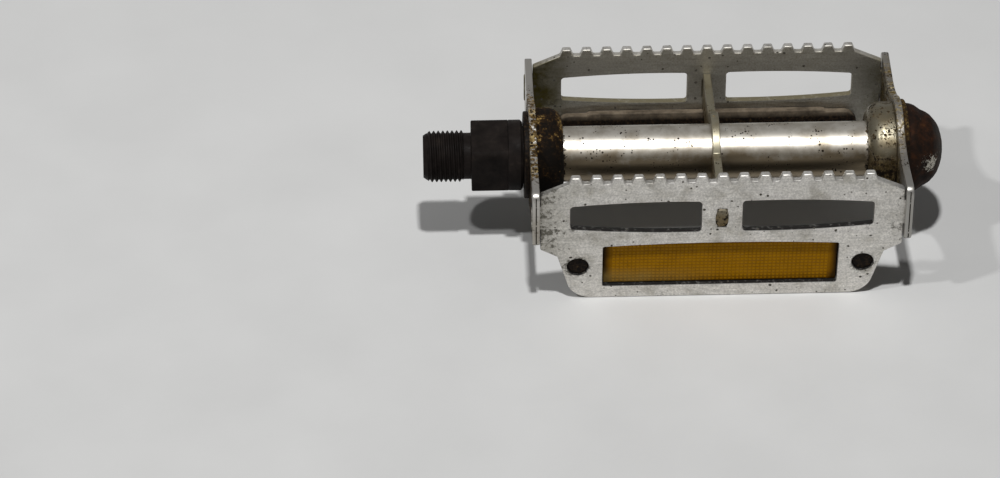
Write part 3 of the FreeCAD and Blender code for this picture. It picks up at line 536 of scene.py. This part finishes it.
def eased_edges(name, width, finish):
    """Give a stamped or moulded piece its finish and ease its sharp edges by that width in millimetres."""
    piece = nodes[name]
    piece.data.materials.clear()
    piece.data.materials.append(finish)
    piece.data.polygons.foreach_set("use_smooth", [True] * len(piece.data.polygons))
    weld = piece.modifiers.new("joined_corners", "WELD")
    weld.merge_threshold = WELD_REACH * MM
    flat = piece.modifiers.new("whole_faces", "DECIMATE")
    flat.decimate_type = "DISSOLVE"
    flat.angle_limit = math.radians(0.5)
    ease = piece.modifiers.new("eased_edges", "BEVEL")
    ease.width = width * MM
    ease.segments = 3
    ease.limit_method = "ANGLE"
    ease.angle_limit = math.radians(40)
    ease.use_clamp_overlap = False
    even = piece.modifiers.new("even_shading", "WEIGHTED_NORMAL")
    even.weight = 100
    even.keep_sharp = False


# Plated stamping, crank side: pale and shiny at the wings, crusted golden brown round the hub
eased_edges("inboard_end_plate", END_PLATE_EASE, plated_steel(
    "rusted_plated_stamping", "#b9b6b0", rust=0.82, spread=34, tarnish=0.8, pits=1.4, gloss=0.34,
    crust_tones=GOLDEN_RUST, sheared=50.5, lean=-6,
))

# Plated stamping, cap side: greyer, with a wider golden tarnish and a paler, olive crust
eased_edges("outboard_end_plate", END_PLATE_EASE, plated_steel(
    "pitted_plated_stamping", "#a3a19c", rust=0.62, spread=37, tarnish=1.12, pits=1.5, gloss=0.36,
    crust_tones=OLIVE_RUST, sheared=50.6, lean=5,
))


# Cage plates: aluminium sheet, blanked, pierced and bent, with teeth along the top for the shoe.
# The satin surface is scratched and pitted, with grime towards the ends, and grime and painted shade on its
# ledges and cut ends.

TOOTH_TOP = AXLE_Z + 14.3
STUD_X = 39.0
STUD_Z = AXLE_Z - 16.1
SLOT_FOOT_Z = AXLE_Z - 3.2
CAGE_EASE = 0.36

# Worn satin aluminium: pale warm grey with a fine speckle, scattered dark pits, brown grime where a rag
# can't reach, and painted shade on the ledges, cut ends and inner faces. The grain and scratches are drawn
# at half a millimetre, because finer ones wouldn't show.
cage_aluminium, tree, shader, place = new_finish("worn_satin_aluminium")
spot = add(tree, "SeparateXYZ", {}, {0: place})
facing = add(tree, "SeparateXYZ", {}, {0: add(tree, "TexCoord").outputs["Normal"]})
from_brace = add(tree, "Math", {"operation": "SUBTRACT", 1: BRACE_X * MM}, {0: spot.outputs["X"]})
out = add(tree, "Math", {"operation": "ABSOLUTE"}, {0: from_brace})
cloud = add(tree, "TexNoise", {"Scale": 1 / (6 * MM), "Detail": 7, "Roughness": 0.62}, {"Vector": place})
tone = add(tree, "ValToRGB", {
    "stops": [(0.3, "#bab6ad"), (0.46, "#d8d5cf"), (0.66, "#e6e3de")],
}, {0: cloud})
grain = add(tree, "TexNoise", {"Scale": 1 / (0.55 * MM), "Detail": 3, "Roughness": 0.7}, {"Vector": place})
fleck = add(tree, "MapRange", {
    "From Min": 0.3, "From Max": 0.7, "To Min": 0.66, "To Max": 1.12,
}, {0: grain})
stretch = add(tree, "Mapping", {
    "Rotation": (0, math.radians(28), 0), "Scale": (0.08, 1, 1),
}, {"Vector": place})
scratch = add(tree, "TexNoise", {
    "Scale": 1 / (0.5 * MM), "Detail": 3, "Roughness": 0.6,
}, {"Vector": stretch})
scuff = add(tree, "MapRange", {
    "From Min": 0.35, "From Max": 0.65, "To Min": 0.88, "To Max": 1.1,
}, {0: scratch})
worn = add(tree, "Math", {"operation": "MULTIPLY"}, {0: fleck, 1: scuff})
speckled = add(tree, "VectorMath", {"operation": "SCALE"}, {0: tone, "Scale": worn})
crankward = add(tree, "MapRange", {
    "From Min": -38 * MM, "From Max": -49 * MM, "To Max": 0.2,
}, {0: from_brace})
capward = add(tree, "MapRange", {"From Min": 43 * MM, "From Max": 51 * MM, "To Max": 0.18}, {0: from_brace})
endward = add(tree, "Math", {"operation": "ADD"}, {0: crankward, 1: capward})
beside = add(tree, "CombineXYZ", {}, {0: out, 2: spot.outputs["Z"]})
from_stud = add(tree, "VectorMath", {
    "operation": "DISTANCE", 1: (STUD_X * MM, 0, STUD_Z * MM),
}, {0: beside})
round_stud = add(tree, "MapRange", {
    "From Min": 4.6 * MM, "From Max": 3.1 * MM, "To Max": 0.2,
}, {0: from_stud.outputs["Value"]})
speck = add(tree, "TexNoise", {"Scale": 1 / (1.3 * MM), "Detail": 7, "Roughness": 0.7}, {"Vector": place})
under_slot = add(tree, "Math", {
    "operation": "COMPARE", 1: SLOT_FOOT_Z * MM, 2: 1 * MM,
}, {0: spot.outputs["Z"]})
near_floor = add(tree, "MapRange", {
    "From Min": 5 * MM, "From Max": 2 * MM, "To Max": 0.07,
}, {0: spot.outputs["Z"]})
splashed = add(tree, "Math", {"operation": "MULTIPLY_ADD", 1: 0.07}, {0: under_slot, 2: near_floor})
soiling = add(tree, "Math", {"operation": "ADD"}, {0: endward, 1: splashed})
handled = add(tree, "Math", {"operation": "ADD"}, {0: soiling, 1: round_stud})
soiled = add(tree, "Math", {"operation": "ADD"}, {0: speck, 1: handled})
stain = add(tree, "MapRange", {"From Min": 0.66, "From Max": 0.76, "To Max": 0.75}, {0: soiled})
upward = add(tree, "MapRange", {"From Min": 0.2, "From Max": 0.6}, {0: facing.outputs["Z"]})
below_teeth = add(tree, "MapRange", {
    "From Min": (AXLE_Z + 10.6) * MM, "From Max": (AXLE_Z + 8) * MM, "To Min": 0.4,
}, {0: spot.outputs["Z"]})
below_tips = add(tree, "Math", {
    "operation": "LESS_THAN", 1: (TOOTH_TOP - 1.1) * MM,
}, {0: spot.outputs["Z"]})
# Ledges and cut ends are caked, partly grime and partly painted shade: near black on the front plate,
# olive-tan on the rear
caked_and_shaded = add(tree, "MapRange", {"From Min": 0.32, "From Max": 0.46, "To Min": 0.8}, {0: speck})
cut_end_shade = add(tree, "MapRange", {"From Min": 0.8, "From Max": 0.97, "To Max": 0.8}, {
    0: add(tree, "Math", {"operation": "ABSOLUTE"}, {0: facing.outputs["X"]}),
})
edge_on = add(tree, "Math", {"operation": "MAXIMUM"}, {0: upward, 1: cut_end_shade})
hidden = add(tree, "Math", {"operation": "MULTIPLY"}, {0: below_tips, 1: below_teeth})
on_ledge = add(tree, "Math", {"operation": "MULTIPLY"}, {0: edge_on, 1: hidden})
ledge_grime_and_shade = add(tree, "Math", {"operation": "MULTIPLY"}, {0: on_ledge, 1: caked_and_shaded})
patina = add(tree, "MapRange", {
    "From Min": 0.3, "From Max": 0.62, "To Min": 0.7, "To Max": 1.25,
}, {0: cloud})
# An olive film on the inner faces, thicker towards the ends and most at the crank end, is partly grime and
# partly painted shade
inward = add(tree, "Math", {"operation": "MULTIPLY"}, {0: facing.outputs["Y"], 1: spot.outputs["Y"]})
film = add(tree, "MapRange", {"From Min": -10 * MM, "From Max": -26 * MM, "To Max": 0.45}, {0: inward})
thicker = add(tree, "Math", {"operation": "MULTIPLY_ADD", 1: 3, 2: 1}, {0: endward})
inner_film_and_shade = add(tree, "Math", {"operation": "MULTIPLY"}, {0: film, 1: thicker})
sooty_and_shaded = add(tree, "Math", {"operation": "MULTIPLY_ADD", 1: 1.5}, {0: crankward, 2: inner_film_and_shade})
olive_film_and_shade = add(tree, "Math", {"operation": "MULTIPLY"}, {0: sooty_and_shaded, 1: patina})
filmed_and_shaded = add(tree, "MixRGB", {"Color2": linear("#564e27")}, {"Fac": olive_film_and_shade, "Color1": speckled})
stained = add(tree, "MixRGB", {"Color2": linear("#393420")}, {"Fac": stain, "Color1": filmed_and_shaded})
behind = add(tree, "Math", {"operation": "GREATER_THAN", 1: 0}, {0: spot.outputs["Y"]})
caking_and_shade = add(tree, "MixRGB", {"Color1": linear("#0e0b08"), "Color2": linear("#6d6650")}, {"Fac": behind})
grimed_and_shaded = add(tree, "MixRGB", {}, {"Fac": ledge_grime_and_shade, "Color1": stained, "Color2": caking_and_shade})
grime_and_ledge_shade = add(tree, "Math", {"operation": "MAXIMUM"}, {0: stain, 1: ledge_grime_and_shade})
hole = add(tree, "TexVoronoi", {"Scale": 1 / (1.9 * MM)}, {"Vector": place})
size = add(tree, "SeparateColor", {}, {0: hole.outputs["Color"]})
reach = add(tree, "MapRange", {"From Min": 0.36, "From Max": 1, "To Max": 0.25}, {0: size})
ragged = add(tree, "Math", {"operation": "MULTIPLY_ADD", 1: 0.5, 2: -0.22}, {0: speck})
edge = add(tree, "Math", {"operation": "ADD"}, {0: hole, 1: ragged})
pit = add(tree, "Math", {"operation": "LESS_THAN"}, {0: edge, 1: reach})
colour = add(tree, "MixRGB", {"Color2": linear("#4a463e")}, {"Fac": pit, "Color1": grimed_and_shaded})
dull = add(tree, "Math", {"operation": "MAXIMUM"}, {0: grime_and_ledge_shade, 1: pit})
matt = add(tree, "MapRange", {
    "From Min": 0.3, "From Max": 0.7, "To Min": 0.42, "To Max": 0.58,
}, {0: scratch})
polish = add(tree, "Math", {"operation": "MAXIMUM"}, {0: matt, 1: dull})
metal = add(tree, "MapRange", {"To Min": 1, "To Max": 0.15}, {0: dull})
sunk = add(tree, "Math", {"operation": "SUBTRACT"}, {0: grain, 1: pit})
marked = add(tree, "Math", {"operation": "ADD"}, {0: sunk, 1: scratch})
relief = add(tree, "Bump", {"Strength": 0.35, "Distance": 0.06 * MM}, {"Height": marked})
wire(shader, {}, {"Base Color": colour, "Roughness": polish, "Metallic": metal, "Normal": relief})
for name in ("front_cage_plate", "rear_cage_plate"):
    eased_edges(name, CAGE_EASE, cage_aluminium)


# Centre brace: a flat steel stamping round the barrel, plated and scuffed.
# Its tenons go through the webs of both cage plates and are hammered over, and the heads are dark with oil.

BRACE_EASE = 0.25
CAGE_FACE = 32.3
HEAD_HALF_WIDTH = 1.75
HEAD_HALF_HEIGHT = 2.95
HEAD_Z = AXLE_Z + 0.5
HEAD_STEPS = 40
HEAD_SQUARENESS = 0.7
# The rings of a head from the plate to its crown: a share of its size, and how far it stands out
HEAD_ROWS = ((1.0, -0.1), (1.0, 0.12), (0.95, 0.3), (0.8, 0.42), (0.5, 0.48), (0.2, 0.46))
HEAD_SHARP = 60
KNOCK = 0.12
KNOCK_WAVES = 1.4
HEAD_DENT = 0.1

# Scuffed plating: a dull yellowish shine, with specks of golden-brown rust
eased_edges("centre_brace", BRACE_EASE, plated_steel(
    "scuffed_plated_brace", "#98927f", rust=0.4, spread=40, tarnish=0.8, pits=0.9, gloss=0.42,
    crust_tones=GOLDEN_RUST,
))

# Hammered steel: grey-brown and dull, darkened by old oil
oily_steel = plated_steel(
    "oily_hammered_steel", "#857f71", rust=0.42, spread=60, tarnish=0.6, pits=0.7, gloss=0.6,
    crust_tones=DEEP_RUST,
)
for place_name, side in (("front", -1), ("rear", 1)):
    head_mesh = bmesh.new()
    rings = []
    for share, rise in HEAD_ROWS:
        ring = []
        for step in range(HEAD_STEPS):
            angle = 2 * math.pi * step / HEAD_STEPS
            cosine = math.cos(angle)
            sine = math.sin(angle)
            wave = Vector((cosine * KNOCK_WAVES, sine * KNOCK_WAVES, side + 2 * share))
            knock = 1 + KNOCK * noise.noise(wave)
            across = math.copysign(abs(cosine) ** HEAD_SQUARENESS, cosine) * HEAD_HALF_WIDTH * share * knock
            along = math.copysign(abs(sine) ** HEAD_SQUARENESS, sine) * HEAD_HALF_HEIGHT * share * knock
            dent = HEAD_DENT * noise.noise(Vector((across, along, side * 5)))
            ring.append(head_mesh.verts.new((
                (BRACE_X + across) * MM,
                side * (CAGE_FACE + rise + dent * share) * MM,
                (HEAD_Z + along) * MM,
            )))
        rings.append(ring)
    skin(head_mesh, rings)
    head = finished(place_name + "_hammered_head", head_mesh, "cage", HEAD_SHARP)
    head.data.materials.append(oily_steel)


# Reflector housings: shallow boxes moulded in black plastic, one behind each cage plate.
# A stud in each ear goes through the plate and holds the box, with the lens trapped between them.

HOUSING_EASE = 0.4

for name in ("front_reflector_housing", "rear_reflector_housing"):
    eased_edges(name, HOUSING_EASE, black_plastic)


# Reflector lenses: clear amber acrylic, moulded with a grid of small prisms that shows as a fine check.
# They are trapped between the cage plate and the housing, and road dust has settled along the lower edge.

TONGUE_LEAN = math.radians(7)
WINDOW_Z = STUD_Z
RIM_OUTER = 31.9
RIM_INNER = 30.0
CELL_X = 1.1
CELL_Z = 1.15
CELLS_X = 54
LENS_MARGIN = 0.8
PRISM_ROOT = 0.3
PRISM_LIFT = 0.02
PRISM_HEIGHT = 0.13
PRISM_SHARP = 5

# Amber acrylic: deep yellow-brown and glossy, with painted shade at its ends and foot, painted glints on the
# prism tips, and a dusty film low down
amber, tree, shader, place = new_finish("amber_acrylic")
spot = add(tree, "SeparateXYZ", {}, {0: place})
film = add(tree, "TexNoise", {"Scale": 1 / (4 * MM), "Detail": 6, "Roughness": 0.65}, {"Vector": place})
prism = add(tree, "Attribute", {"attribute_name": "prism_height"})
from_brace = add(tree, "Math", {"operation": "SUBTRACT", 1: BRACE_X * MM}, {0: spot.outputs["X"]})
out = add(tree, "Math", {"operation": "ABSOLUTE"}, {0: from_brace})
# Painted shade: the lens is darkened towards its ends and its foot, where the window's walls shade it
painted_end_shade = add(tree, "MapRange", {
    "From Min": RIM_OUTER * MM, "From Max": RIM_INNER * MM, "To Min": -0.3, "To Max": 0.26,
}, {0: out})
painted_foot_shade = add(tree, "MapRange", {
    "From Min": (WINDOW_Z - 7) * MM, "From Max": (WINDOW_Z - 4) * MM, "To Max": 0.3,
}, {0: spot.outputs["Z"]})
painted_shade_level = add(tree, "Math", {"operation": "ADD"}, {0: painted_end_shade, 1: painted_foot_shade})
film_and_painted_shade = add(tree, "Math", {"operation": "MULTIPLY_ADD", 1: 0.4}, {0: film, 2: painted_shade_level})
# Painted glints: the tip of each prism is coloured lighter
painted_glints_and_shade = add(tree, "Math", {"operation": "MULTIPLY_ADD", 1: 0.42}, {0: prism.outputs["Fac"], 2: film_and_painted_shade})
tone = add(tree, "ValToRGB", {
    "stops": [(0.3, "#352203"), (0.6, "#6d4903"), (0.82, "#8c6003"), (1.0, "#9c6e05")],
}, {0: painted_glints_and_shade})
low = add(tree, "MapRange", {
    "From Min": (WINDOW_Z - 0.8) * MM, "From Max": (WINDOW_Z - 4.5) * MM,
}, {0: spot.outputs["Z"]})
crankward = add(tree, "MapRange", {"From Min": 0, "From Max": -22 * MM}, {0: from_brace})
smear = add(tree, "Math", {"operation": "MULTIPLY"}, {0: low, 1: crankward})
dusty = add(tree, "Math", {"operation": "MULTIPLY"}, {0: smear, 1: film})
colour = add(tree, "MixRGB", {"Color2": linear("#86703f")}, {"Fac": dusty, "Color1": tone})
polish = add(tree, "MapRange", {"To Min": 0.24, "To Max": 0.8}, {0: dusty})
wire(shader, {"IOR": 1.49, "Specular IOR Level": 0.03}, {"Base Color": colour, "Roughness": polish})
for place_name, side in (("front", -1), ("rear", 1)):
    lens = nodes[place_name + "_reflector_lens"]
    lens.data.materials.clear()
    lens.data.materials.append(amber)
    outward = Vector((0, side * math.cos(TONGUE_LEAN), -math.sin(TONGUE_LEAN)))
    upwards = Vector((0, side * math.sin(TONGUE_LEAN), math.cos(TONGUE_LEAN)))
    face = max(outward.dot(vertex.co) for vertex in lens.data.vertices)
    rises = [upwards.dot(vertex.co) for vertex in lens.data.vertices]
    lens_foot = min(rises) + LENS_MARGIN * MM
    rows = int((max(rises) - min(rises) - 2 * LENS_MARGIN * MM) / (CELL_Z * MM))
    prism_mesh = bmesh.new()
    height = prism_mesh.verts.layers.float.new("prism_height")
    corners = {}
    for column in range(CELLS_X + 1):
        for row in range(rows + 1):
            across = BRACE_X + (column - CELLS_X / 2) * CELL_X
            rise = lens_foot + row * CELL_Z * MM
            corners[column, row] = prism_mesh.verts.new(
                Vector((across * MM, 0, 0)) + outward * (face + PRISM_LIFT * MM) + upwards * rise
            )
    for column in range(CELLS_X):
        for row in range(rows):
            around = [
                corners[column, row], corners[column + 1, row],
                corners[column + 1, row + 1], corners[column, row + 1],
            ]
            middle = sum((corner.co for corner in around), Vector()) / 4
            tip = prism_mesh.verts.new(middle + outward * PRISM_HEIGHT * MM)
            tip[height] = 1
            for number in range(4):
                prism_mesh.faces.new((around[number], around[(number + 1) % 4], tip))
    # The sheet of prisms is closed behind, where it is rooted in the lens
    back = {
        (column, row): prism_mesh.verts.new(corners[column, row].co - outward * PRISM_ROOT * MM)
        for column in (0, CELLS_X) for row in (0, rows)
    }
    for row in (0, rows):
        border = [corners[column, row] for column in range(CELLS_X + 1)]
        prism_mesh.faces.new(border + [back[CELLS_X, row], back[0, row]])
    for column in (0, CELLS_X):
        border = [corners[column, row] for row in range(rows + 1)]
        prism_mesh.faces.new(border + [back[column, rows], back[column, 0]])
    prism_mesh.faces.new([back[0, 0], back[CELLS_X, 0], back[CELLS_X, rows], back[0, rows]])
    prisms = finished(place_name + "_lens_prisms", prism_mesh, "cage", PRISM_SHARP)
    prisms.data.materials.append(amber)


# Studio: a plain pale floor that the pedal stands on, lit by two small lamps in a dim white room.
# The stronger lamp is overhead on the camera's side, and the weaker one on the crank side.

FLOOR_REACH = 3
LAMP_SIZE = 0.05
LAMP_AIM = (0, 0, 0.02)

floor_mesh = bmesh.new()
bmesh.ops.create_grid(floor_mesh, x_segments=1, y_segments=1, size=FLOOR_REACH)
floor_data = bpy.data.meshes.new("studio_floor")
floor_mesh.to_mesh(floor_data)
floor_mesh.free()
floor = bpy.data.objects.new("studio_floor", floor_data)
bpy.context.scene.collection.objects.link(floor)

# Painted board: pale grey, matt and faintly mottled, with a painted falloff of light that makes it darker
# towards the front
pale_paint, tree, shader, place = new_finish("pale_painted_board")
mottle = add(tree, "TexNoise", {"Scale": 1 / (40 * MM), "Detail": 6}, {"Vector": place})
spot = add(tree, "SeparateXYZ", {}, {0: place})
painted_light_falloff = add(tree, "MapRange", {
    "From Min": -0.2, "From Max": 0.35, "To Min": -0.2, "To Max": 0.8,
}, {0: spot.outputs["Y"]})
mottle_and_falloff = add(tree, "Math", {"operation": "MULTIPLY_ADD", 1: 0.4}, {0: mottle, 2: painted_light_falloff})
tone = add(tree, "ValToRGB", {"stops": [(0, "#c3c3c2"), (0.5, "#d7d7d6"), (1, "#e6e6e5")]}, {0: mottle_and_falloff})
wire(shader, {"Roughness": 0.6}, {"Base Color": tone})
floor.data.materials.append(pale_paint)


def lamp(name, place, power):
    """A small area lamp at a place in metres, turned to face the pedal."""
    data = bpy.data.lights.new(name, "AREA")
    data.shape = "RECTANGLE"
    data.size = LAMP_SIZE
    data.size_y = LAMP_SIZE
    data.energy = power
    light = bpy.data.objects.new(name, data)
    light.location = place
    light.rotation_euler = (Vector(LAMP_AIM) - Vector(place)).to_track_quat("-Z", "Y").to_euler()
    bpy.context.scene.collection.objects.link(light)


lamp("overhead_lamp", (-0.02, -0.37, 1.045), 8.5)
lamp("side_lamp", (-0.62, -0.36, 0.95), 3.4)

# The room is dim as a light on the pedal, and brighter where the camera or a shiny surface sees it
world = bpy.data.worlds.new("studio")
world.use_nodes = True
bpy.context.scene.world = world
tree = world.node_tree
path = add(tree, "LightPath")
shiny = add(tree, "Math", {"operation": "MAXIMUM"}, {
    0: path.outputs["Is Camera Ray"], 1: path.outputs["Is Glossy Ray"],
})
seen = add(tree, "Math", {"operation": "MAXIMUM"}, {0: shiny, 1: path.outputs["Is Transmission Ray"]})
level = add(tree, "MapRange", {"To Min": 0.07, "To Max": 0.35}, {0: seen})
wire(tree.nodes["Background"], {"Color": (1, 1, 1, 1)}, {"Strength": level})


# Camera: where the photograph was taken from, a little over a metre away and looking down, with a long lens.
# Its place, angles and lens were fitted to points in the photograph.

CAMERA_PLACE = (-0.0732, -0.9110, 0.66405)

camera_data = bpy.data.cameras.new("camera")
camera_data.sensor_width = 36
camera_data.lens = 144.33
camera_data.clip_start = 0.05
camera = bpy.data.objects.new("camera", camera_data)
elevation = math.radians(36.126)
yaw = math.radians(1.41)
roll = math.radians(-0.261)
forward = Vector((
    math.sin(yaw) * math.cos(elevation), math.cos(yaw) * math.cos(elevation), -math.sin(elevation),
))
level_right = Vector((math.cos(yaw), -math.sin(yaw), 0))
level_up = level_right.cross(forward)
right = level_right * math.cos(roll) + level_up * math.sin(roll)
up = level_up * math.cos(roll) - level_right * math.sin(roll)
turn = Matrix((right, up, -forward)).transposed().to_4x4()
camera.matrix_world = Matrix.Translation(CAMERA_PLACE) @ turn
bpy.context.scene.collection.objects.link(camera)
bpy.context.scene.camera = camera
bpy.context.scene.view_settings.view_transform = "Standard"
